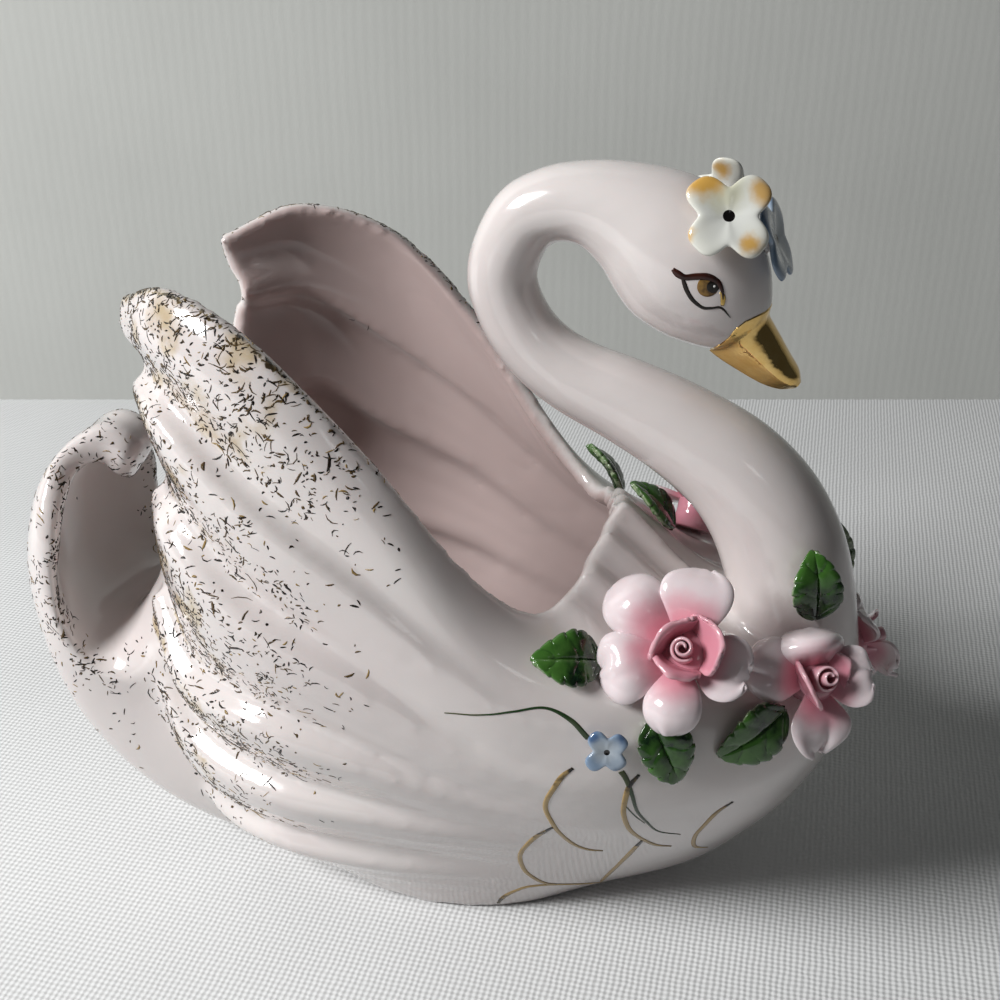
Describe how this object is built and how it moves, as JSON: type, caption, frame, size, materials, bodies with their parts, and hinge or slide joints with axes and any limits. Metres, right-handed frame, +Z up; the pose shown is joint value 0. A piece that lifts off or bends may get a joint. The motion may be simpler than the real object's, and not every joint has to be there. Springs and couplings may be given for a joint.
{
  "type": "swan planter figurine",
  "caption": "Glazed porcelain swan whose fluted wings form an open planter bowl, with a lowered head, curled tail and applied roses, leaves and small flowers.",
  "frame": {"origin": "centre of the oval foot, on the plane the swan stands on", "axes": "+Z up, +X the way the swan faces, from the tail to the breast; +Y is the swan's left wing"},
  "size_m": [0.1809, 0.0904, 0.1545],
  "materials": {
    "blush_porcelain": "glossy clear glaze over blush-white porcelain, flecked with gold",
    "rose_glaze": "glossy glaze shaded from deep pink inside to near white at the petal edges",
    "leaf_glaze": "glossy dark green glaze, lighter at the toothed edge",
    "blue_glaze": "glossy pale blue glaze, deeper at the petal tips",
    "cream_glaze": "glossy cream glaze with yellow petal tips"
  },
  "bodies": {
    "root": {"swan_body": "blush_porcelain", "rose_wing": "rose_glaze", "rose_breast": "rose_glaze", "rose_breast_far": "rose_glaze", "rose_wing_far": "rose_glaze", "leaf_rim": "leaf_glaze", "leaf_flank": "leaf_glaze", "leaf_breast": "leaf_glaze", "leaf_neck": "leaf_glaze", "leaf_neck_far": "leaf_glaze", "leaf_wing_far": "leaf_glaze", "leaf_collar": "leaf_glaze", "leaf_flank_far": "leaf_glaze", "flower_wing": "blue_glaze", "flower_crown": "cream_glaze", "flower_brow": "blue_glaze", "flower_crown_far": "cream_glaze"}
  },
  "joints": []
}
